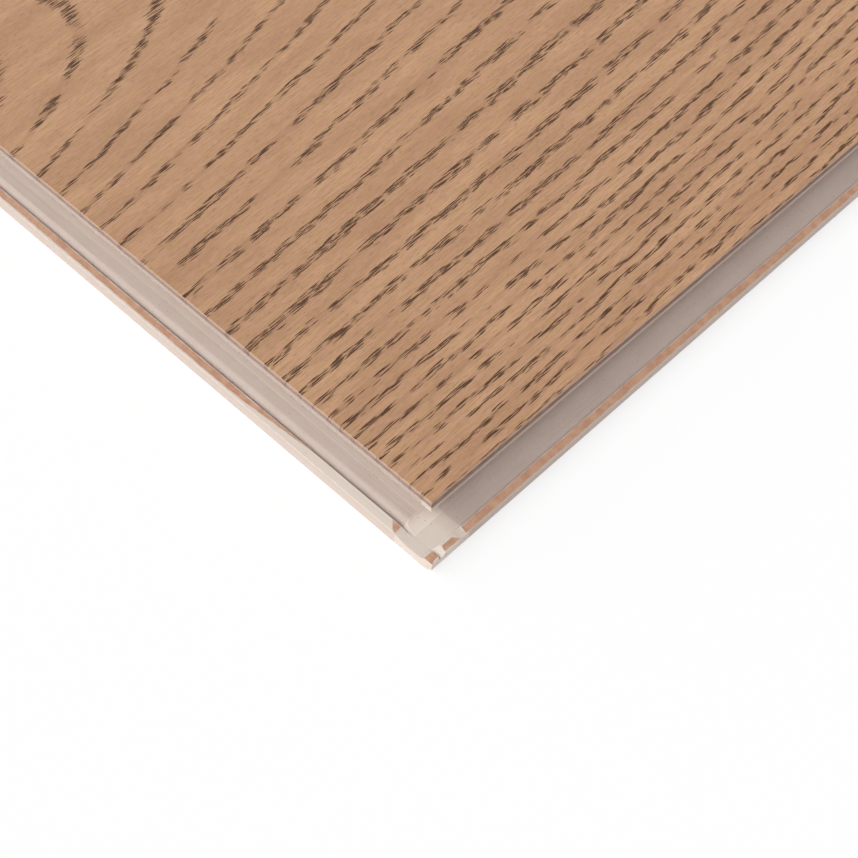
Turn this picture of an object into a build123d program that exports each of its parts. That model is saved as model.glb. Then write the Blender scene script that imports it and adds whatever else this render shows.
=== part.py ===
"""Rigid-core vinyl floor plank: a vinyl wear layer on a mineral core board with click edges.

X runs along the plank, Y across it and Z up from its underside. The origin lies under the middle of the face.
Grooves with a long lower lip are milled into the -X end and the -Y side, and the +X end and the +Y side carry
the tongues that drop into the grooves of the next planks.
"""
import os

from build123d import *

# Face of the plank, without lips and tongues
face_length = 1220.0
face_width = 180.0
plank_thickness = 6.0
wear_thickness = 1.0
edge_bevel = 0.22

# Fit between two planks that are clicked together
joint_clearance = 0.12
tongue_relief = 0.3
groove_cover = 1.15
roof_fall = 0.35
roof_round = 0.4

# Bead along the outer edge of both lower lips, a little higher at its inner edge
bead_height = 2.55
bead_fall = 0.12
bead_round = 0.08

# Lower lip and groove of the long side
side_reach = 5.55
side_foot_run = 1.2
side_foot_rise = 0.9
side_bead_width = 1.46
side_flank_run = 0.45
side_flank_foot = 1.92
side_flank_round = 0.4
side_scoop_out = 1.1
side_scoop_height = 1.65
side_scoop_round = 9.0
side_groove_depth = 1.85
side_groove_floor = 2.3
side_groove_round = 0.4

# Lower lip and groove of the short end
end_reach = 5.55
end_bead_width = 1.5
end_channel_run = 0.15
end_channel_floor = 1.8
end_channel_round = 0.12
end_hump_out = 2.5
end_hump_width = 2.2
end_hump_height = 2.5
end_hump_round = 1.2
end_groove_depth = 1.95
end_floor_width = 1.25
end_groove_floor = 2.4
end_groove_round = 0.4

core_thickness = plank_thickness - wear_thickness
groove_roof = core_thickness - groove_cover


def side_lip(clearance):
    """Top of the long side's lower lip from its outer face to the groove's end, as (out, height, radius)."""
    bead_inner = side_reach - side_bead_width
    return [
        (side_reach + clearance, bead_height - bead_fall + clearance, bead_round),
        (bead_inner, bead_height + clearance, bead_round),
        (bead_inner - side_flank_run, side_flank_foot + clearance, side_flank_round),
        (side_scoop_out, side_scoop_height + clearance, side_scoop_round),
        (-side_groove_depth, side_groove_floor + clearance, side_groove_round),
    ]


def end_lip(clearance):
    """Top of the short end's lower lip from its outer face to the groove's end, as (out, height, radius)."""
    bead_inner = end_reach - end_bead_width
    return [
        (end_reach + clearance, bead_height - bead_fall + clearance, bead_round),
        (bead_inner, bead_height + clearance, bead_round),
        (bead_inner - end_channel_run, end_channel_floor + clearance, end_channel_round),
        (end_hump_out, end_hump_height + clearance, end_hump_round),
        (end_hump_out - end_hump_width, end_hump_height + clearance, end_hump_round),
        (end_floor_width - end_groove_depth, end_groove_floor + clearance, end_hump_round),
        (-end_groove_depth, end_groove_floor + clearance, end_groove_round),
    ]


def edge_corners(lip, clearance, relief):
    """Corners of one milled edge from its lower lip to the top of the core, as (out, height, radius).

    With no clearance they bound a groove. With clearance they bound the tongue that fills it.
    """
    corners = lip(clearance)
    out, height, radius = corners.pop()
    end = out + relief
    roof = groove_roof - clearance
    corners.append((end, height, radius))
    corners.append((end, roof - roof_fall, roof_round))
    corners.append((0, roof, 0))
    corners.append((0, core_thickness, 0))
    return corners


def core_section(plane, lip, width, lip_foot):
    """Section of the core board across one pair of edges: groove on the low side, tongue on the high side."""
    groove = lip_foot + edge_corners(lip, 0, 0)
    tongue = edge_corners(lip, joint_clearance, tongue_relief)
    cut_back = tongue[0][0]
    tongue.insert(0, (cut_back, 0, 0))
    corners = [(width / 2 - out, height, radius) for out, height, radius in tongue]
    corners += [(-width / 2 - out, height, radius) for out, height, radius in reversed(groove)]
    with BuildSketch(plane) as section:
        with BuildLine():
            FilletPolyline(
                *[(across, height) for across, height, radius in corners],
                radius=[radius for across, height, radius in corners],
                close=True,
            )
        make_face()
    return section.sketch


side_foot = [(side_reach - side_foot_run, 0, 0), (side_reach, side_foot_rise, 0)]
end_foot = [(end_reach, 0, 0)]

# Core board: the two milled sections, each run right through the other, so that they cross at the corners
with BuildPart() as core_board:
    extrude(core_section(Plane.YZ, side_lip, face_width, side_foot), amount=face_length, both=True)
    extrude(
        core_section(Plane.XZ, end_lip, face_length, end_foot),
        amount=face_width,
        both=True,
        mode=Mode.INTERSECT,
    )

    # Each lip stops where the underside is cut back for the next plank's lip
    with BuildSketch() as lip_stops:
        with Locations((-face_length / 2, face_width / 2 - side_reach - joint_clearance)):
            Rectangle(end_reach, side_reach + side_groove_depth, align=(Align.MAX, Align.MIN))
        with Locations((face_length / 2 - end_reach - joint_clearance, -face_width / 2)):
            Rectangle(end_reach + end_groove_depth, side_reach, align=(Align.MIN, Align.MAX))
    extrude(amount=plank_thickness, mode=Mode.SUBTRACT)

# Wear layer: bonded to the core's top, with a fine bevel round its face
with BuildPart() as wear_layer:
    with BuildSketch(Plane.XY.offset(core_thickness)):
        Rectangle(face_length, face_width)
    extrude(amount=wear_thickness)
    chamfer(wear_layer.faces().sort_by(Axis.Z)[-1].edges(), length=edge_bevel)

os.makedirs("parts", exist_ok=True)
core_board.part.label = "core_board"
export_step(core_board.part, "parts/core_board.step")
wear_layer.part.label = "wear_layer"
export_step(wear_layer.part, "parts/wear_layer.step")
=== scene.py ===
"""Looks of a rigid-core vinyl floor plank: an oak-print wear layer on a milled mineral core board.

Lengths are in millimetres up to the point where Blender takes them, which is in metres.
X runs along the plank, Y across it and Z up from its underside. The grooves are at the low ends of X and Y.
"""
import math

import bmesh
import bpy
from mathutils import Matrix, Vector


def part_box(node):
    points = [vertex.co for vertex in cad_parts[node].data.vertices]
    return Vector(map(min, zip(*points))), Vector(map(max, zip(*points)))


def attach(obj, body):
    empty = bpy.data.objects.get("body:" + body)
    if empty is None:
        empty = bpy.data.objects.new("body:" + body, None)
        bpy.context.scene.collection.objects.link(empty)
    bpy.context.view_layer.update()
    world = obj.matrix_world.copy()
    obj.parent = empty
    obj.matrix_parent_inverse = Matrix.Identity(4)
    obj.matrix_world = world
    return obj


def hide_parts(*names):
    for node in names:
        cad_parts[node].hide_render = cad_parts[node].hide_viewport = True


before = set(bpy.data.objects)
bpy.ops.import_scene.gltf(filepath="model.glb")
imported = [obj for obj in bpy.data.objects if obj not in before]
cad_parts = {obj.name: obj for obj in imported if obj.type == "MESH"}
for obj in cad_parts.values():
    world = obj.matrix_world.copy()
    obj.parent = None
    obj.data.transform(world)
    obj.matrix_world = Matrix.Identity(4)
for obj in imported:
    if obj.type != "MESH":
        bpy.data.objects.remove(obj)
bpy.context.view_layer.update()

MM = 0.001
ALONG = Vector((1, 0, 0))
ACROSS = Vector((0, 1, 0))
UP = Vector((0, 0, 1))

# Face of the plank, read from the frame
wear_low, wear_high = (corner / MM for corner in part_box("wear_layer"))
FACE_LENGTH = wear_high.x - wear_low.x
FACE_WIDTH = wear_high.y - wear_low.y
FACE_TOP = wear_high.z
CORE_TOP = wear_low.z
EDGE_BEVEL = 0.22

# Fit between two planks that are clicked together
CLEARANCE = 0.12
TONGUE_RELIEF = 0.3
GROOVE_COVER = 1.15
GROOVE_ROOF = CORE_TOP - GROOVE_COVER
GROOVE_ROUND = 0.4
ROOF_FALL = 0.35
ROOF_ROUND = 0.4

# Bead along the outer edge of both lower lips, a little higher at its inner edge
REACH = 5.55
BEAD_HEIGHT = 2.55
BEAD_FALL = 0.12
BEAD_ROUND = 0.08

# Lower lip and groove of the long side
SIDE_FOOT_RUN = 1.2
SIDE_FOOT_RISE = 0.9
SIDE_BEAD_WIDTH = 1.46
SIDE_BEAD_INNER = REACH - SIDE_BEAD_WIDTH
SIDE_FLANK_RUN = 0.45
SIDE_FLANK_FOOT = 1.92
SIDE_FLANK_ROUND = 0.4
SIDE_SCOOP_OUT = 1.1
SIDE_SCOOP_HEIGHT = 1.65
SIDE_SCOOP_ROUND = 9.0
SIDE_GROOVE_DEPTH = 1.85
SIDE_GROOVE_FLOOR = 2.3

# Lower lip and groove of the short end
END_BEAD_WIDTH = 1.5
END_BEAD_INNER = REACH - END_BEAD_WIDTH
END_CHANNEL_RUN = 0.15
END_CHANNEL_FLOOR = 1.8
END_CHANNEL_ROUND = 0.12
END_HUMP_OUT = 2.5
END_HUMP_WIDTH = 2.2
END_HUMP_HEIGHT = 2.5
END_HUMP_ROUND = 1.2
END_FLOOR_WIDTH = 1.25
END_GROOVE_DEPTH = 1.95
END_GROOVE_FLOOR = 2.4

# Top of each lower lip from its outer face to its groove's end, as (out from the face, height, radius)
SIDE_LIP = (
    (REACH, BEAD_HEIGHT - BEAD_FALL, BEAD_ROUND),
    (SIDE_BEAD_INNER, BEAD_HEIGHT, BEAD_ROUND),
    (SIDE_BEAD_INNER - SIDE_FLANK_RUN, SIDE_FLANK_FOOT, SIDE_FLANK_ROUND),
    (SIDE_SCOOP_OUT, SIDE_SCOOP_HEIGHT, SIDE_SCOOP_ROUND),
    (-SIDE_GROOVE_DEPTH, SIDE_GROOVE_FLOOR, GROOVE_ROUND),
)
END_LIP = (
    (REACH, BEAD_HEIGHT - BEAD_FALL, BEAD_ROUND),
    (END_BEAD_INNER, BEAD_HEIGHT, BEAD_ROUND),
    (END_BEAD_INNER - END_CHANNEL_RUN, END_CHANNEL_FLOOR, END_CHANNEL_ROUND),
    (END_HUMP_OUT, END_HUMP_HEIGHT, END_HUMP_ROUND),
    (END_HUMP_OUT - END_HUMP_WIDTH, END_HUMP_HEIGHT, END_HUMP_ROUND),
    (END_FLOOR_WIDTH - END_GROOVE_DEPTH, END_GROOVE_FLOOR, END_HUMP_ROUND),
    (-END_GROOVE_DEPTH, END_GROOVE_FLOOR, GROOVE_ROUND),
)
SIDE_FOOT = ((REACH - SIDE_FOOT_RUN, 0, 0), (REACH, SIDE_FOOT_RISE, 0))
END_FOOT = ((REACH, 0, 0),)

# Turn of one step of a rounded corner, and the angle from which an edge is shaded sharp
ARC_STEP = math.radians(10.0)
SHARP_ANGLE = math.radians(28.0)

# Tilt of the grain at the groove end. It gains with the way across the plank and fades out along it
TILT = 0.025
TILT_RISE = 0.0007
TILT_FADES = 120.0

# Oak figure: growth rings round a pith below the face, which lies deeper along the plank
PITH_ACROSS = 30.0
PITH_DEPTH = 110.0
PITH_FALL = 0.0545
RINGS_PER_MM = 0.5
RING_START = 0.15

# Near the groove end the pith also follows the grain's tilt, aside and downwards
PITH_DRIFT = -0.065
PITH_DIP = 0.0435

# Further along it wanders, in lumps of the given length, so that the rings close into arches
WANDER_STARTS = (90.0, 320.0)
WANDER_ASIDE = 55.0
WANDER_ASIDE_LUMP = 330.0
WANDER_DEEPER = 17.0
WANDER_DEEPER_LUMP = 230.0

# Spells of wide and narrow rings: growth from one wide spell to the next, its swing in rings,
# and the radius of one where they are widest
SPELL_SPAN = 50.0
SPELL_SWING = 1.11
SPELL_WIDEST = 134.0

# Unevenness of the rings, long and short, as lumps (along, across) and their height
SWAY_LUMP = (70.0, 30.0)
SWAY = 2.5
WOBBLE_LUMP = (9.0, 5.0)
WOBBLE = 1.5

# Layers of noise for these, so that none repeats another
SWAY_LAYER = 0.0
WOBBLE_LAYER = 3.0
ASIDE_LAYER = 21.0
DEEPER_LAYER = 25.0

# Early wood at the start of each ring, with its width on the face.
# Where a ring lies flatter in the face than FLATTEST, its early wood spreads wider
EARLY_ONSET = 0.1
EARLY_WIDTH = 1.4
EARLY_HOLDS = EARLY_WIDTH * 0.5
FLATTEST = 0.28

# Pores in the early wood, as (length, width, share kept, darkness), and the few outside it
PORES = ((5.4, 0.3, 0.95, 1.0), (4.2, 0.25, 0.85, 1.0), (2.8, 0.2, 0.7, 0.9))
STRAY = 0.02
KEPT_EDGE = 0.12

# Clusters of pores, each ring with its own
CLUSTER = 5.0
CLUSTER_EDGE = (0.36, 0.52)
RING_APART = 7.3

# Outline of a pore in shares of its length and width: ragged and of varied size
PORE_REACH = 0.24
PORE_VARIES = 0.16
PORE_HEART = 0.72
RAGGED_LUMP = (0.8, 0.5)
RAGGED_ENDS = 0.25
RAGGED_SIDES = 0.35

# Streaks in the oak's ground, as (length, width, layer of noise, detail, roughness)
STREAKS = {
    "fibre": (6.0, 0.3, 5.0, 3.0, 0.6),
    "fleck": (1.4, 0.22, 7.0, 1.0, 0.5),
    "flush": (28.0, 5.0, 9.0, 2.0, 0.5),
    "blotch": (9.0, 2.2, 13.0, 2.0, 0.5),
    "tint": (2.5, 1.1, 17.0, 2.0, 0.5),
}

# Tones that they lay over the ground one after the other, as (streak, start, end, share, sRGB colour)
OAK_GROUND = (205, 163, 127)
OAK_TONES = (
    ("flush", 0.3, 0.7, 1.0, (185, 143, 111)),
    ("fibre", 0.3, 0.75, 0.6, (158, 118, 89)),
    ("blotch", 0.5, 0.75, 0.35, (178, 132, 104)),
    ("tint", 0.5, 0.68, 0.4, (199, 152, 126)),
    ("tint", 0.5, 0.32, 0.4, (188, 151, 106)),
    ("fleck", 0.52, 0.78, 0.55, (146, 108, 82)),
)
EARLY_TONE = (154, 114, 86)
EARLY_SHARE = 0.25
PORE_TONE = (78, 48, 29)
PORE_SHARE = 0.97

# Embossing of the print: its depth, and how much of that the fibres and the pores take
PRINT_DEPTH = 0.12
FIBRE_RELIEF = 0.12
PORE_RELIEF = 0.8

# Cut edge of the film: a pale bevel above a darker side, which is paler at both ends of the plank
BEVEL_TONE = (178, 150, 133)
BEVEL_STARTS = (-0.03, -0.06)
FILM_DARK = (128, 103, 90)
FILM_LIGHT = (148, 124, 112)
FILM_LUMP = (1.5, 1.5, 0.5)
FILM_CONTRAST = (0.35, 0.65)
FILM_STARTS = (0.02, -0.02)
FILM_END = (176, 152, 139)
FILM_END_STARTS = (-0.05, -0.01)
FILM_END_SHARE = 0.5

# Raw core: specks and clouds
CORE_DARK = (184, 167, 157)
CORE_LIGHT = (201, 185, 175)
SPECK_LUMP = (0.5, 0.5, 0.5)
CLOUD_TONE = (188, 168, 156)
CLOUD_LUMP = (5.0, 5.0, 2.0)
CLOUD_CONTRAST = (0.35, 0.7)
CLOUD_SHARE = 0.4

# Faint lines left by the milling cutters along each edge
LINE_TONE = (168, 150, 140)
LINE_LENGTH = 40.0
LINE_WIDTH = 0.22
LINE_HEIGHT = 0.3
LINE_CONTRAST = (0.55, 0.75)
LINE_STARTS = (-2.0, 0.0)
LINE_SHARE = 0.25

# Paler raw core, partly dusty and partly painted light, where the two milled edges cross and on the end's
# bead, and painted light in the end's groove under its roof, which lifts the shade there
PALE_AND_LIT_TONE = (220, 206, 194)
PALE_AND_LIT_SHARE = 0.8
CROSSING_FROM_END = (-2.8, 0.8)
CROSSING_FROM_SIDE = (-2.1, -1.7)
PALE_LIT_BEAD = (END_BEAD_INNER - 0.1, END_BEAD_INNER)
PALE_LIT_BEAD_HEIGHT = (2.2, 2.4)
PALE_LIT_BEAD_BELOW = 0.4
LIT_GROOVE_BACK = (-2.4, -2.0)
LIT_GROOVE_FRONT = (0.9, 0.1)
LIT_GROOVE_ROOF = (3.6, 3.2)
LIT_GROOVE_SHARE = 0.65

# Dark pits in the core, scattered over X and Y with a shift up the edges
PIT_TONE = (96, 80, 72)
PIT_SPACING = 1.1
PIT_SHIFT_X = 1.7
PIT_SHIFT_Y = 1.3
PIT_SEED = 4.0
PIT_EDGE = (0.11, 0.03)
PIT_CHANCE = (0.88, 0.96)
PIT_SHARE = 0.7

# Depth of the core's relief, which the pits take whole, and how much of it the specks and the lines take
CORE_RELIEF = 0.04
SPECK_RELIEF = 0.3
LINE_RELIEF = 0.5

# Dark smear below the wear layer, deeper on the long side
SMEAR_TONE = (138, 114, 101)
SMEAR_LUMP = (1.4, 1.4, 1.4)
SMEAR_DEPTH = 0.12
SMEAR_UNEVEN = 0.25
SMEAR_ON_SIDE = 0.3
SMEAR_SIDE_STARTS = (-0.05, 0.0)
SMEAR_SHARE = 0.9

# Brown paint on the beads, with ragged edges
PAINT_DARK = (178, 132, 106)
PAINT_LIGHT = (194, 153, 126)
PAINT_MOTTLE = (1.2, 1.2, 1.0)
PAINT_CONTRAST = (0.3, 0.7)
PAINT_LUMP = (2.5, 2.5, 2.5)
PAINT_RAGGED = 0.5
PAINT_INSET = 0.1
PAINT_INNER_EDGE = (-0.08, 0.1)
BEAD_TOP_BAND = (0.03, 0.015)

# Where the paint is worn off the long side's bead, and where along the end it stops and starts again
PAINT_WORN = 5.38
PAINT_WORN_EDGE = (0.04, -0.1)
PAINT_STOPS = (1.9, 4.0)
PAINT_STARTS = (14.0, 40.0)
PAINT_SHARE = 0.78
PAINT_SHARE_RAGGED = 0.35
PAINT_END_EDGE = (-0.03, 0.08)

# Scattered points: their shift for each seed, and an exponent under 2, which draws them out to tips
SEED_SHIFT_X = 31.7
SEED_SHIFT_Y = 17.3
POINTED = 1.4

# Sockets of the colour Mix node
MIX_SHARE = 0
MIX_FIRST = 6
MIX_SECOND = 7
MIX_RESULT = 2

# Camera, from the photograph's vanishing points and the place of the face's corner in it
PICTURE = 858
CORNER_PIXEL = (431.7, 503.8)
CORNER_DEPTH = 235.0
FOCAL_PIXELS = 1667.0
SENSOR = 36.0
CLIP_START = 10.0
VIEW_HEADING = 40.98
VIEW_FALL = 54.23
VIEW_ROLL = 3.65

# Light: an even sky and a long bright strip half way up it, which together light a level face at about 1
STRIP_HEADING = 174.0
STRIP_LOW = 22.0
STRIP_HIGH = 63.0
STRIP_SOFTNESS = 8.0
STRIP_LEVEL = 3.0
SKY_LEVEL = 0.27

# White floor: its width in metres, its share of reflected light and the share of its shadow that shows
FLOOR_SIZE = 30.0
FLOOR_WHITE = 0.8
FLOOR_SHADOW = 0.3

# Parts of the core in its bake map, as boxes (left, low, right, high)
MAP_SIDE_GROOVE = (0.004, 0.76, 0.996, 0.996)
MAP_END_GROOVE = (0.004, 0.62, 0.996, 0.75)
MAP_CORNER = (0.004, 0.17, 0.996, 0.61)
MAP_SIDE_TONGUE = (0.004, 0.12, 0.996, 0.16)
MAP_END_TONGUE = (0.004, 0.07, 0.996, 0.11)
MAP_TOP = (0.004, 0.004, 0.49, 0.06)
MAP_UNDERSIDE = (0.51, 0.004, 0.996, 0.06)

# How far the corner reaches along both edges in that map, and what counts as a level face
CORNER_REACH = 24.0
LEVEL_NORMAL = 0.99
LEVEL_GAP = 0.01

# Parts of the wear layer in its own bake map: the face, its back and the four edges
MAP_FACE = (0.003, 0.075, 0.997, 0.997)
MAP_FACE_BACK = (0.003, 0.061, 0.997, 0.071)
MAP_GROOVE_SIDE_EDGE = (0.003, 0.047, 0.997, 0.057)
MAP_TONGUE_END_EDGE = (0.003, 0.033, 0.997, 0.043)
MAP_TONGUE_SIDE_EDGE = (0.003, 0.019, 0.997, 0.029)
MAP_GROOVE_END_EDGE = (0.003, 0.005, 0.997, 0.015)


class Field:
    """A number that varies over a surface. Arithmetic on it adds Math nodes to its material."""

    def __init__(self, tree, socket):
        self.tree = tree
        self.socket = socket

    def math(self, operation, *others):
        node = self.tree.nodes.new("ShaderNodeMath")
        node.operation = operation
        for slot, value in enumerate((self, *others)):
            feed(self.tree, value, node.inputs[slot])
        return Field(self.tree, node.outputs[0])

    def __add__(self, other):
        return self.math("ADD", other)

    def __sub__(self, other):
        return self.math("SUBTRACT", other)

    def __rsub__(self, other):
        return (self * -1.0) + other

    def __mul__(self, other):
        return self.math("MULTIPLY", other)

    def __truediv__(self, other):
        return self.math("DIVIDE", other)

    def above(self, other):
        return self.math("MAXIMUM", other)

    def step(self, start, end):
        """0 at start and 1 at end, smooth in between. Start may be the higher one."""
        node = self.tree.nodes.new("ShaderNodeMapRange")
        node.interpolation_type = "SMOOTHSTEP"
        feed(self.tree, self, node.inputs["Value"])
        feed(self.tree, start, node.inputs["From Min"])
        feed(self.tree, end, node.inputs["From Max"])
        return Field(self.tree, node.outputs["Result"])


def feed(tree, value, socket):
    """Links a Field to a socket, or sets the socket to a plain value."""
    if isinstance(value, Field):
        tree.links.new(value.socket, socket)
    else:
        socket.default_value = value


def vector(tree, *parts):
    node = tree.nodes.new("ShaderNodeCombineXYZ")
    for slot, part in enumerate(parts):
        feed(tree, part, node.inputs[slot])
    return Field(tree, node.outputs[0])


def parts_of(tree, socket):
    node = tree.nodes.new("ShaderNodeSeparateXYZ")
    tree.links.new(socket, node.inputs[0])
    return [Field(tree, output) for output in node.outputs]


def noise(tree, x, y, z, detail=2.0, roughness=0.5):
    """Noise from 0 to 1, one lump per unit of x, y and z."""
    node = tree.nodes.new("ShaderNodeTexNoise")
    feed(tree, vector(tree, x, y, z), node.inputs["Vector"])
    node.inputs["Scale"].default_value = 1.0
    node.inputs["Detail"].default_value = detail
    node.inputs["Roughness"].default_value = roughness
    return Field(tree, node.outputs["Fac"])


def lumps(tree, x, y, z, lump, detail=2.0, roughness=0.5):
    """Noise in lumps of a given (length, width, height)."""
    length, width, height = lump
    return noise(tree, x / length, y / width, z / height, detail, roughness)


def streaks(tree, x, side, length, width, layer, detail=2.0, roughness=0.5):
    """Noise in flat lumps of a given length and width. Each layer is a noise of its own."""
    return noise(tree, x / length, side / width, layer, detail, roughness)


def cells(tree, x, y, seed):
    """Scattered points, one per unit: distance to the nearest, its place and two random numbers."""
    shift_x = seed * SEED_SHIFT_X
    shift_y = seed * SEED_SHIFT_Y
    node = tree.nodes.new("ShaderNodeTexVoronoi")
    node.voronoi_dimensions = "2D"
    node.distance = "MINKOWSKI"
    feed(tree, vector(tree, x + shift_x, y + shift_y, 0.0), node.inputs["Vector"])
    node.inputs["Scale"].default_value = 1.0
    node.inputs["Exponent"].default_value = POINTED
    middle_x, middle_y, _ = parts_of(tree, node.outputs["Position"])
    chance, size, _ = parts_of(tree, node.outputs["Color"])
    return Field(tree, node.outputs["Distance"]), middle_x - shift_x, middle_y - shift_y, chance, size


def srgb(red, green, blue):
    """Linear colour of an sRGB one in the range 0 to 255."""
    parts = [value / 255 for value in (red, green, blue)]
    return tuple(p / 12.92 if p <= 0.04045 else ((p + 0.055) / 1.055) ** 2.4 for p in parts)


def blend(tree, share, first, second):
    """Colour between first and second. Either is a Field or an sRGB triple."""
    node = tree.nodes.new("ShaderNodeMix")
    node.data_type = "RGBA"
    feed(tree, share, node.inputs[MIX_SHARE])
    for slot, colour in ((MIX_FIRST, first), (MIX_SECOND, second)):
        feed(tree, colour if isinstance(colour, Field) else (*srgb(*colour), 1.0), node.inputs[slot])
    return Field(tree, node.outputs[MIX_RESULT])


def new_material(name):
    """An empty material: its node tree, its shader and the place on the surface in millimetres."""
    material = bpy.data.materials.new(name)
    material.use_nodes = True
    tree = material.node_tree
    place = tree.nodes.new("ShaderNodeTexCoord")
    x, y, z = (part / MM for part in parts_of(tree, place.outputs["Object"]))
    return material, tree, tree.nodes["Principled BSDF"], x, y, z


def add_bump(tree, shader, height, depth):
    """Relief of the given depth in millimetres where height goes from 0 to 1."""
    node = tree.nodes.new("ShaderNodeBump")
    node.inputs["Distance"].default_value = depth * MM
    tree.links.new(height.socket, node.inputs["Height"])
    tree.links.new(node.outputs[0], shader.inputs["Normal"])


def grain_swing(x):
    """Way from the groove end over which the grain's tilt has built up. Further along it gains no more."""
    return ((x + FACE_LENGTH / 2) / TILT_FADES).math("TANH") * TILT_FADES


def across_grain(x, y):
    """Way across the grain from the groove side to a point of the face."""
    swing = grain_swing(x)
    return (y + FACE_WIDTH / 2) * (1.0 - swing * TILT_RISE) - swing * TILT


def across_plank(x, side):
    """Place across the plank of a point that lies the given way across the grain."""
    swing = grain_swing(x)
    return (side + swing * TILT) / (1.0 - swing * TILT_RISE) - FACE_WIDTH / 2


def early_wood(tree, x, y):
    """1 in the wood that grew first in its ring, 0 in the rest, and the number of the ring."""
    along = x + FACE_LENGTH / 2
    swing = grain_swing(x)
    sway = streaks(tree, x, y, *SWAY_LUMP, SWAY_LAYER, detail=1.0) - 0.5
    wobble = streaks(tree, x, y, *WOBBLE_LUMP, WOBBLE_LAYER, detail=1.0) - 0.5
    wander = along.step(*WANDER_STARTS)
    aside = noise(tree, x / WANDER_ASIDE_LUMP, 0.0, ASIDE_LAYER, detail=0.0) - 0.5
    deeper = noise(tree, x / WANDER_DEEPER_LUMP, 0.0, DEEPER_LAYER, detail=0.0) - 0.5
    pith_y = swing * PITH_DRIFT + PITH_ACROSS + aside * wander * WANDER_ASIDE
    across = y + sway * SWAY + wobble * WOBBLE - pith_y
    depth = along * PITH_FALL + swing * PITH_DIP + PITH_DEPTH + deeper * wander * WANDER_DEEPER
    radius = (across * across + depth * depth).math("SQRT")
    spell = ((radius - SPELL_WIDEST) * (2 * math.pi / SPELL_SPAN)).math("SINE")
    rings = radius * RINGS_PER_MM - spell * SPELL_SWING + RING_START
    slope = (across / radius).math("ABSOLUTE").above(FLATTEST)
    grown = rings.math("FRACT") / (slope * RINGS_PER_MM)
    early = grown.step(0.0, EARLY_ONSET) * grown.step(EARLY_WIDTH, EARLY_HOLDS)
    return early, rings.math("FLOOR")


def pores(tree, x, side, length, width, share, seed):
    """Dark dashes along the grain. Each is kept or left out by the wood at its own middle."""
    ragged = streaks(tree, x, side, *RAGGED_LUMP, seed) - 0.5
    place_x = x / length + ragged * RAGGED_ENDS
    place_y = side / width + ragged * RAGGED_SIDES
    distance, middle_x, middle_y, chance, size = cells(tree, place_x, place_y, seed)
    middle_x = middle_x * length
    middle_y = across_plank(middle_x, middle_y * width)
    early, ring = early_wood(tree, middle_x, middle_y)
    rich = noise(tree, middle_x / CLUSTER, ring * RING_APART, middle_y / CLUSTER).step(*CLUSTER_EDGE)
    kept = (early * rich * share + STRAY - chance).step(0.0, KEPT_EDGE)
    reach = size * PORE_VARIES + PORE_REACH
    return distance.step(reach, reach * PORE_HEART) * kept


def oak_print():
    material, tree, shader, x, y, z = new_material("oak_vinyl")

    # Ground of streaks along the grain, with the early wood and its pores over it
    side = across_grain(x, y)
    streak = {name: streaks(tree, x, side, *shape) for name, shape in STREAKS.items()}
    colour = OAK_GROUND
    for name, start, end, share, tone in OAK_TONES:
        colour = blend(tree, streak[name].step(start, end) * share, colour, tone)
    early, _ = early_wood(tree, x, y)
    colour = blend(tree, early * EARLY_SHARE, colour, EARLY_TONE)
    dark = None
    for seed, (length, width, share, darkness) in enumerate(PORES):
        layer = pores(tree, x, side, length, width, share, float(seed)) * darkness
        dark = layer if dark is None else dark.above(layer)
    colour = blend(tree, dark * PORE_SHARE, colour, PORE_TONE)

    # Cut edge: the bevel, and below it the side of the film
    bevel = (z - FACE_TOP).step(*BEVEL_STARTS)
    colour = blend(tree, bevel, colour, BEVEL_TONE)
    film = blend(tree, lumps(tree, x, y, z, FILM_LUMP).step(*FILM_CONTRAST), FILM_DARK, FILM_LIGHT)
    on_end = (x.math("ABSOLUTE") - FACE_LENGTH / 2).step(*FILM_END_STARTS)
    film = blend(tree, on_end * FILM_END_SHARE, film, FILM_END)
    below_bevel = (z - (FACE_TOP - EDGE_BEVEL)).step(*FILM_STARTS)
    colour = blend(tree, below_bevel, colour, film)

    tree.links.new(colour.socket, shader.inputs["Base Color"])
    shader.inputs["Roughness"].default_value = 0.6
    shader.inputs["Specular IOR Level"].default_value = 0.3
    add_bump(tree, shader, streak["fibre"] * FIBRE_RELIEF - dark * PORE_RELIEF, PRINT_DEPTH)
    return material


def bead_top(out, z, bead_inner, ragged):
    """1 on what is left of a bead's top, with a ragged inner edge, and 0 where it is milled away."""
    top = BEAD_HEIGHT - (out - bead_inner) * (BEAD_FALL / (REACH - bead_inner))
    level = (z - top).math("ABSOLUTE").step(*BEAD_TOP_BAND)
    inner = ragged * PAINT_RAGGED + bead_inner + PAINT_INSET
    return level * (out - inner).step(*PAINT_INNER_EDGE)


def bead_paint(tree, x, y, z, end_out, side_out):
    """Share of the brown paint that was rolled on the face's edges and has landed on both beads."""
    ragged = lumps(tree, x, y, z, PAINT_LUMP, detail=5.0, roughness=0.75) - 0.5
    worn = ragged * PAINT_RAGGED + PAINT_WORN
    side_paint = bead_top(side_out, z, SIDE_BEAD_INNER, ragged) * (side_out - worn).step(*PAINT_WORN_EDGE)
    along = side_out * -1.0
    share = 1.0 - along.step(*PAINT_STOPS) + along.step(*PAINT_STARTS) * PAINT_SHARE
    limit = (share + ragged * PAINT_SHARE_RAGGED) * END_BEAD_WIDTH + END_BEAD_INNER
    end_paint = bead_top(end_out, z, END_BEAD_INNER, ragged) * (limit - end_out).step(*PAINT_END_EDGE)
    return side_paint.above(end_paint)


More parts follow.
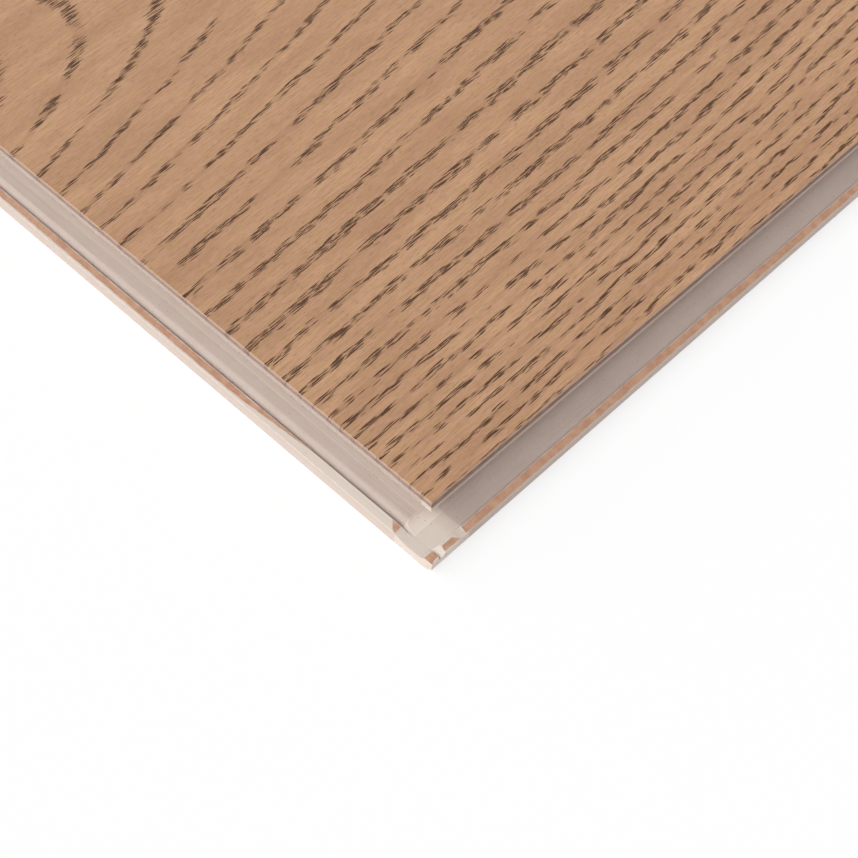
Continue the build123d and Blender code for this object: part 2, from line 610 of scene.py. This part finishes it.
def mineral_core():
    material, tree, shader, x, y, z = new_material("mineral_core")
    end_out = (x + FACE_LENGTH / 2) * -1.0
    side_out = (y + FACE_WIDTH / 2) * -1.0
    speck = lumps(tree, x, y, z, SPECK_LUMP, detail=3.0, roughness=0.7)
    colour = blend(tree, speck, CORE_DARK, CORE_LIGHT)
    cloud = lumps(tree, x, y, z, CLOUD_LUMP)
    colour = blend(tree, cloud.step(*CLOUD_CONTRAST) * CLOUD_SHARE, colour, CLOUD_TONE)

    # Milling lines
    end_lines = lumps(tree, x, y, z, (LINE_WIDTH, LINE_LENGTH, LINE_HEIGHT)).step(*LINE_CONTRAST)
    side_lines = lumps(tree, x, y, z, (LINE_LENGTH, LINE_WIDTH, LINE_HEIGHT)).step(*LINE_CONTRAST)
    lines = (end_lines * end_out.step(*LINE_STARTS)).above(side_lines * side_out.step(*LINE_STARTS))
    colour = blend(tree, lines * LINE_SHARE, colour, LINE_TONE)

    # Paler places: partly dusty core and partly painted light at the crossing and on the end's bead, and
    # painted light in the end's groove
    crossing = end_out.step(*CROSSING_FROM_END) * side_out.step(*CROSSING_FROM_SIDE)
    # End's bead: its top paler and painted lit in full, its outer face less so
    bead_level = z.step(*PALE_LIT_BEAD_HEIGHT) * (1.0 - PALE_LIT_BEAD_BELOW) + PALE_LIT_BEAD_BELOW
    bead = end_out.step(*PALE_LIT_BEAD) * bead_level
    # Painted light in the end's groove under its roof, in place of light that reaches in there
    groove = end_out.step(*LIT_GROOVE_BACK) * end_out.step(*LIT_GROOVE_FRONT)
    groove = groove * z.step(*LIT_GROOVE_ROOF) * LIT_GROOVE_SHARE
    pale = crossing.above(bead).above(groove)
    colour = blend(tree, pale * PALE_AND_LIT_SHARE, colour, PALE_AND_LIT_TONE)

    # Pits
    pit_x = x / PIT_SPACING + z * PIT_SHIFT_X
    pit_y = y / PIT_SPACING + z * PIT_SHIFT_Y
    distance, _, _, chance, _ = cells(tree, pit_x, pit_y, PIT_SEED)
    pits = distance.step(*PIT_EDGE) * chance.step(*PIT_CHANCE)
    colour = blend(tree, pits * PIT_SHARE, colour, PIT_TONE)

    # Paint
    mottle = lumps(tree, x, y, z, PAINT_MOTTLE, detail=3.0)
    paint = blend(tree, mottle.step(*PAINT_CONTRAST), PAINT_DARK, PAINT_LIGHT)
    colour = blend(tree, bead_paint(tree, x, y, z, end_out, side_out), colour, paint)

    # Smear
    uneven = (lumps(tree, x, y, z, SMEAR_LUMP) - 0.5) * SMEAR_UNEVEN
    smeared = z + uneven + side_out.step(*SMEAR_SIDE_STARTS) * SMEAR_ON_SIDE
    smear = smeared.step(CORE_TOP - SMEAR_DEPTH, CORE_TOP)
    colour = blend(tree, smear * SMEAR_SHARE, colour, SMEAR_TONE)

    tree.links.new(colour.socket, shader.inputs["Base Color"])
    shader.inputs["Roughness"].default_value = 0.8
    add_bump(tree, shader, speck * SPECK_RELIEF - lines * LINE_RELIEF - pits, CORE_RELIEF)
    return material


def rounded(corners):
    """Outline with each (across, height, radius) corner rounded by an arc."""
    outline = []
    for index, (across, height, radius) in enumerate(corners):
        corner = Vector((across, height))
        if radius == 0:
            outline.append(corner)
            continue
        before = (Vector(corners[index - 1][:2]) - corner).normalized()
        after = (Vector(corners[(index + 1) % len(corners)][:2]) - corner).normalized()
        half = before.angle(after) / 2
        middle = corner + (before + after).normalized() * radius / math.sin(half)
        start = corner + before * radius / math.tan(half) - middle
        turn = start.angle_signed(corner + after * radius / math.tan(half) - middle)
        steps = max(2, math.ceil(abs(turn) / ARC_STEP))
        for step in range(steps + 1):
            outline.append(middle + Matrix.Rotation(-turn * step / steps, 2) @ start)
    return outline


def edge_corners(lip, clearance, relief):
    """Corners of one milled edge from its lower lip to the top of the core.

    With no clearance they bound a groove. With clearance they bound the tongue that fills it.
    """
    corners = [(out, height + clearance, radius) for out, height, radius in lip]
    out, height, radius = corners.pop()
    roof = GROOVE_ROOF - clearance
    corners[0] = (corners[0][0] + clearance, *corners[0][1:])
    corners.append((out + relief, height, radius))
    corners.append((out + relief, roof - ROOF_FALL, ROOF_ROUND))
    corners.append((0, roof, 0))
    corners.append((0, CORE_TOP, 0))
    return corners


def core_section(lip, foot, width):
    """Section across one pair of edges: groove on the low side, tongue on the high side."""
    groove = [*foot, *edge_corners(lip, 0, 0)]
    tongue = edge_corners(lip, CLEARANCE, TONGUE_RELIEF)
    tongue.insert(0, (tongue[0][0], 0, 0))
    corners = [(width / 2 - out, height, radius) for out, height, radius in tongue]
    corners += [(-width / 2 - out, height, radius) for out, height, radius in reversed(groove)]
    return rounded(corners)


def link_mesh(name, mesh):
    data = bpy.data.meshes.new(name)
    mesh.to_mesh(data)
    mesh.free()
    made = bpy.data.objects.new(name, data)
    bpy.context.scene.collection.objects.link(made)
    return made


def prism(name, outline, place):
    """Closed prism between two copies of an outline. place turns (across, height, end) into a point."""
    mesh = bmesh.new()
    ends = []
    for end in (-1, 1):
        ends.append([mesh.verts.new(place(point.x, point.y, end)) for point in outline])
    mesh.faces.new(ends[0])
    mesh.faces.new(list(reversed(ends[1])))
    for index in range(len(outline)):
        after = (index + 1) % len(outline)
        mesh.faces.new((ends[0][index], ends[1][index], ends[1][after], ends[0][after]))
    bmesh.ops.recalc_face_normals(mesh, faces=mesh.faces)
    return link_mesh(name, mesh)


def block(name, low, high):
    """Upright block over the rectangle between two corners."""
    outline = [Vector(low), Vector((high[0], low[1])), Vector(high), Vector((low[0], high[1]))]
    return prism(name, outline, lambda across, height, end: (across, height, end * FACE_TOP))


def carve(target, tool, operation):
    cut = target.modifiers.new(operation, "BOOLEAN")
    cut.operation = operation
    cut.solver = "EXACT"
    cut.object = tool


def lay_out(mesh, regions):
    """Map for baking: each region's faces, seen in its own two directions, fill its box of the map."""
    uv = mesh.loops.layers.uv.new("OFBake")
    for faces, right, up, (left_u, low_v, right_u, high_v) in regions:
        loops = [loop for face in faces for loop in face.loops]
        all_across = [loop.vert.co.dot(right) for loop in loops]
        all_heights = [loop.vert.co.dot(up) for loop in loops]
        start = min(all_across)
        width = max(all_across) - start
        foot = min(all_heights)
        rise = max(all_heights) - foot
        for loop, across, height in zip(loops, all_across, all_heights):
            share_u = (across - start) / width
            share_v = (height - foot) / rise
            loop[uv].uv = (left_u + (right_u - left_u) * share_u, low_v + (high_v - low_v) * share_v)


def core_regions(mesh):
    """Parts of the core for its bake map. The corner where the grooves cross gets the finest share."""
    views = {
        "side_groove": (ALONG, ACROSS + UP, MAP_SIDE_GROOVE),
        "end_groove": (ACROSS, ALONG + UP, MAP_END_GROOVE),
        "corner": (ALONG - ACROSS, ALONG + ACROSS + UP, MAP_CORNER),
        "side_tongue": (ALONG, UP - ACROSS, MAP_SIDE_TONGUE),
        "end_tongue": (ACROSS, UP - ALONG, MAP_END_TONGUE),
        "top": (ALONG, ACROSS, MAP_TOP),
        "underside": (ALONG, ACROSS, MAP_UNDERSIDE),
    }
    parts = {name: [] for name in views}
    for face in mesh.faces:
        middle = face.calc_center_median()
        from_end = middle.x + FACE_LENGTH / 2
        from_side = middle.y + FACE_WIDTH / 2
        on_end = from_end < END_GROOVE_DEPTH
        on_side = from_side < SIDE_GROOVE_DEPTH
        outermost = abs(middle.z - CORE_TOP / 2) > CORE_TOP / 2 - LEVEL_GAP
        if abs(face.normal.z) > LEVEL_NORMAL and outermost:
            name = "top" if face.normal.z > 0 else "underside"
        elif on_side and from_end < CORNER_REACH or on_end and from_side < CORNER_REACH:
            name = "corner"
        elif on_side or on_end:
            name = "side_groove" if on_side else "end_groove"
        else:
            name = "end_tongue" if from_end > FACE_LENGTH - REACH else "side_tongue"
        parts[name].append(face)
    return [(parts[name], *view) for name, view in views.items()]


def dress(piece, material, node):
    piece.data.materials.clear()
    piece.data.materials.append(material)
    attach(piece, "root")
    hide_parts(node)


def core_board():
    """The two milled sections, each run right through the other, less stops for the next planks' lips."""
    board = prism(
        "core_board_milled",
        core_section(SIDE_LIP, SIDE_FOOT, FACE_WIDTH),
        lambda across, height, end: (end * FACE_LENGTH, across, height),
    )
    ends = prism(
        "end_section",
        core_section(END_LIP, END_FOOT, FACE_LENGTH),
        lambda across, height, end: (across, end * FACE_WIDTH, height),
    )
    end_stop = block(
        "end_stop",
        (-FACE_LENGTH / 2 - 2 * REACH, FACE_WIDTH / 2 - REACH - CLEARANCE),
        (-FACE_LENGTH / 2, FACE_WIDTH / 2 + REACH),
    )
    side_stop = block(
        "side_stop",
        (FACE_LENGTH / 2 - REACH - CLEARANCE, -FACE_WIDTH / 2 - 2 * REACH),
        (FACE_LENGTH / 2 + REACH, -FACE_WIDTH / 2),
    )
    carve(board, ends, "INTERSECT")
    carve(board, end_stop, "DIFFERENCE")
    carve(board, side_stop, "DIFFERENCE")
    shaped = bpy.data.meshes.new_from_object(board.evaluated_get(bpy.context.evaluated_depsgraph_get()))
    board.modifiers.clear()
    board.data = shaped
    for tool in (ends, end_stop, side_stop):
        bpy.data.objects.remove(tool)

    # Cuts across the edges, so that the corner can have its own part of the bake map
    mesh = bmesh.new()
    mesh.from_mesh(shaped)
    for axis, edge in ((ALONG, FACE_LENGTH / 2), (ACROSS, FACE_WIDTH / 2)):
        everything = [*mesh.verts, *mesh.edges, *mesh.faces]
        cut = axis * (CORNER_REACH - edge)
        bmesh.ops.bisect_plane(mesh, geom=everything, plane_co=cut, plane_no=axis)
    lay_out(mesh, core_regions(mesh))
    bmesh.ops.scale(mesh, vec=(MM, MM, MM), verts=mesh.verts)
    mesh.to_mesh(shaped)
    mesh.free()
    for face in shaped.polygons:
        face.use_smooth = True
    shaped.set_sharp_from_angle(angle=SHARP_ANGLE)
    board.modifiers.new("even_normals", "WEIGHTED_NORMAL").keep_sharp = True
    dress(board, mineral_core(), "core_board")


def wear_layer():
    """Box with a bevelled top edge. Its face takes nearly the whole bake map."""
    mesh = bmesh.new()
    loops = []
    for height, inset in ((CORE_TOP, 0.0), (FACE_TOP - EDGE_BEVEL, 0.0), (FACE_TOP, EDGE_BEVEL)):
        half_x = FACE_LENGTH / 2 - inset
        half_y = FACE_WIDTH / 2 - inset
        corners = ((-half_x, -half_y), (half_x, -half_y), (half_x, half_y), (-half_x, half_y))
        loops.append([mesh.verts.new((x, y, height)) for x, y in corners])
    underside = mesh.faces.new(list(reversed(loops[0])))
    face = mesh.faces.new(loops[-1])
    edges = [[], [], [], []]
    for low, high in zip(loops, loops[1:]):
        for index, edge in enumerate(edges):
            after = (index + 1) % len(edges)
            edge.append(mesh.faces.new((low[index], low[after], high[after], high[index])))
    groove_side, tongue_end, tongue_side, groove_end = edges
    regions = [
        ([face], ALONG, ACROSS, MAP_FACE),
        ([underside], ALONG, ACROSS, MAP_FACE_BACK),
        (groove_side, ALONG, ACROSS + UP, MAP_GROOVE_SIDE_EDGE),
        (tongue_end, ACROSS, UP - ALONG, MAP_TONGUE_END_EDGE),
        (tongue_side, ALONG, UP - ACROSS, MAP_TONGUE_SIDE_EDGE),
        (groove_end, ACROSS, ALONG + UP, MAP_GROOVE_END_EDGE),
    ]
    lay_out(mesh, regions)
    bmesh.ops.scale(mesh, vec=(MM, MM, MM), verts=mesh.verts)
    dress(link_mesh("wear_layer_print", mesh), oak_print(), "wear_layer")


def seen_rays(tree):
    """1 for rays that come from the camera, from a mirror or through glass."""
    path = tree.nodes.new("ShaderNodeLightPath")
    camera = Field(tree, path.outputs["Is Camera Ray"])
    glossy = Field(tree, path.outputs["Is Glossy Ray"])
    through = Field(tree, path.outputs["Is Transmission Ray"])
    return camera.above(glossy).above(through)


def add_floor():
    """A white floor whose shadow the camera sees only faintly."""
    bpy.ops.mesh.primitive_plane_add(size=FLOOR_SIZE)
    floor = bpy.context.object
    floor.name = "floor"
    material = bpy.data.materials.new("floor_white")
    material.use_nodes = True
    tree = material.node_tree
    nodes = tree.nodes
    nodes.clear()
    out = nodes.new("ShaderNodeOutputMaterial")
    plain = nodes.new("ShaderNodeBsdfDiffuse")
    plain.inputs["Color"].default_value = (FLOOR_WHITE, FLOOR_WHITE, FLOOR_WHITE, 1.0)
    shadow = nodes.new("ShaderNodeBsdfDiffuse")
    shadow.inputs["Color"].default_value = (1.0, 1.0, 1.0, 1.0)
    white = nodes.new("ShaderNodeEmission")
    seen = nodes.new("ShaderNodeMixShader")
    seen.inputs[0].default_value = FLOOR_SHADOW
    tree.links.new(white.outputs[0], seen.inputs[1])
    tree.links.new(shadow.outputs[0], seen.inputs[2])
    pick = nodes.new("ShaderNodeMixShader")
    tree.links.new(seen_rays(tree).socket, pick.inputs[0])
    tree.links.new(plain.outputs[0], pick.inputs[1])
    tree.links.new(seen.outputs[0], pick.inputs[2])
    tree.links.new(pick.outputs[0], out.inputs["Surface"])
    floor.data.materials.append(material)


def add_light():
    """A sky without lamps. The camera sees it plain white."""
    world = bpy.data.worlds.new("studio")
    bpy.context.scene.world = world
    world.use_nodes = True
    tree = world.node_tree
    place = tree.nodes.new("ShaderNodeTexCoord")
    east, north, up = parts_of(tree, place.outputs["Generated"])
    heading = math.radians(STRIP_HEADING)
    towards = east * math.cos(heading) + north * math.sin(heading)
    rise = up.math("ARCTAN2", towards) * math.degrees(1.0)
    strip = rise.step(STRIP_LOW - STRIP_SOFTNESS, STRIP_LOW + STRIP_SOFTNESS)
    strip = strip * rise.step(STRIP_HIGH + STRIP_SOFTNESS, STRIP_HIGH - STRIP_SOFTNESS)
    level = strip * STRIP_LEVEL + SKY_LEVEL
    level = level + seen_rays(tree) * (1.0 - level)
    sky = tree.nodes["Background"]
    sky.inputs["Color"].default_value = (1.0, 1.0, 1.0, 1.0)
    tree.links.new(level.socket, sky.inputs["Strength"])


def add_camera():
    """Camera that puts the face's corner on its pixel, at the photograph's heading, fall and roll."""
    heading = math.radians(VIEW_HEADING)
    fall = math.radians(VIEW_FALL)
    roll = math.radians(VIEW_ROLL)
    forward_x = math.cos(heading) * math.cos(fall)
    forward_y = math.sin(heading) * math.cos(fall)
    forward = Vector((forward_x, forward_y, -math.sin(fall)))
    level = Vector((math.sin(heading), -math.cos(heading), 0.0))
    upright = level.cross(forward)
    right = level * math.cos(roll) + upright * math.sin(roll)
    up = right.cross(forward)
    across = (CORNER_PIXEL[0] - PICTURE / 2) / FOCAL_PIXELS
    below = (CORNER_PIXEL[1] - PICTURE / 2) / FOCAL_PIXELS
    corner = Vector((-FACE_LENGTH / 2, -FACE_WIDTH / 2, FACE_TOP))
    place = corner - CORNER_DEPTH * (forward + across * right - below * up)
    data = bpy.data.cameras.new("camera")
    data.sensor_width = SENSOR
    data.lens = FOCAL_PIXELS * SENSOR / PICTURE
    data.clip_start = CLIP_START * MM
    camera = bpy.data.objects.new("camera", data)
    bpy.context.scene.collection.objects.link(camera)
    turn = Matrix((right, up, -forward)).transposed()
    camera.matrix_world = Matrix.Translation(place * MM) @ turn.to_4x4()
    bpy.context.scene.camera = camera


core_board()
wear_layer()
add_floor()
add_light()
add_camera()
bpy.context.scene.view_settings.view_transform = "Standard"
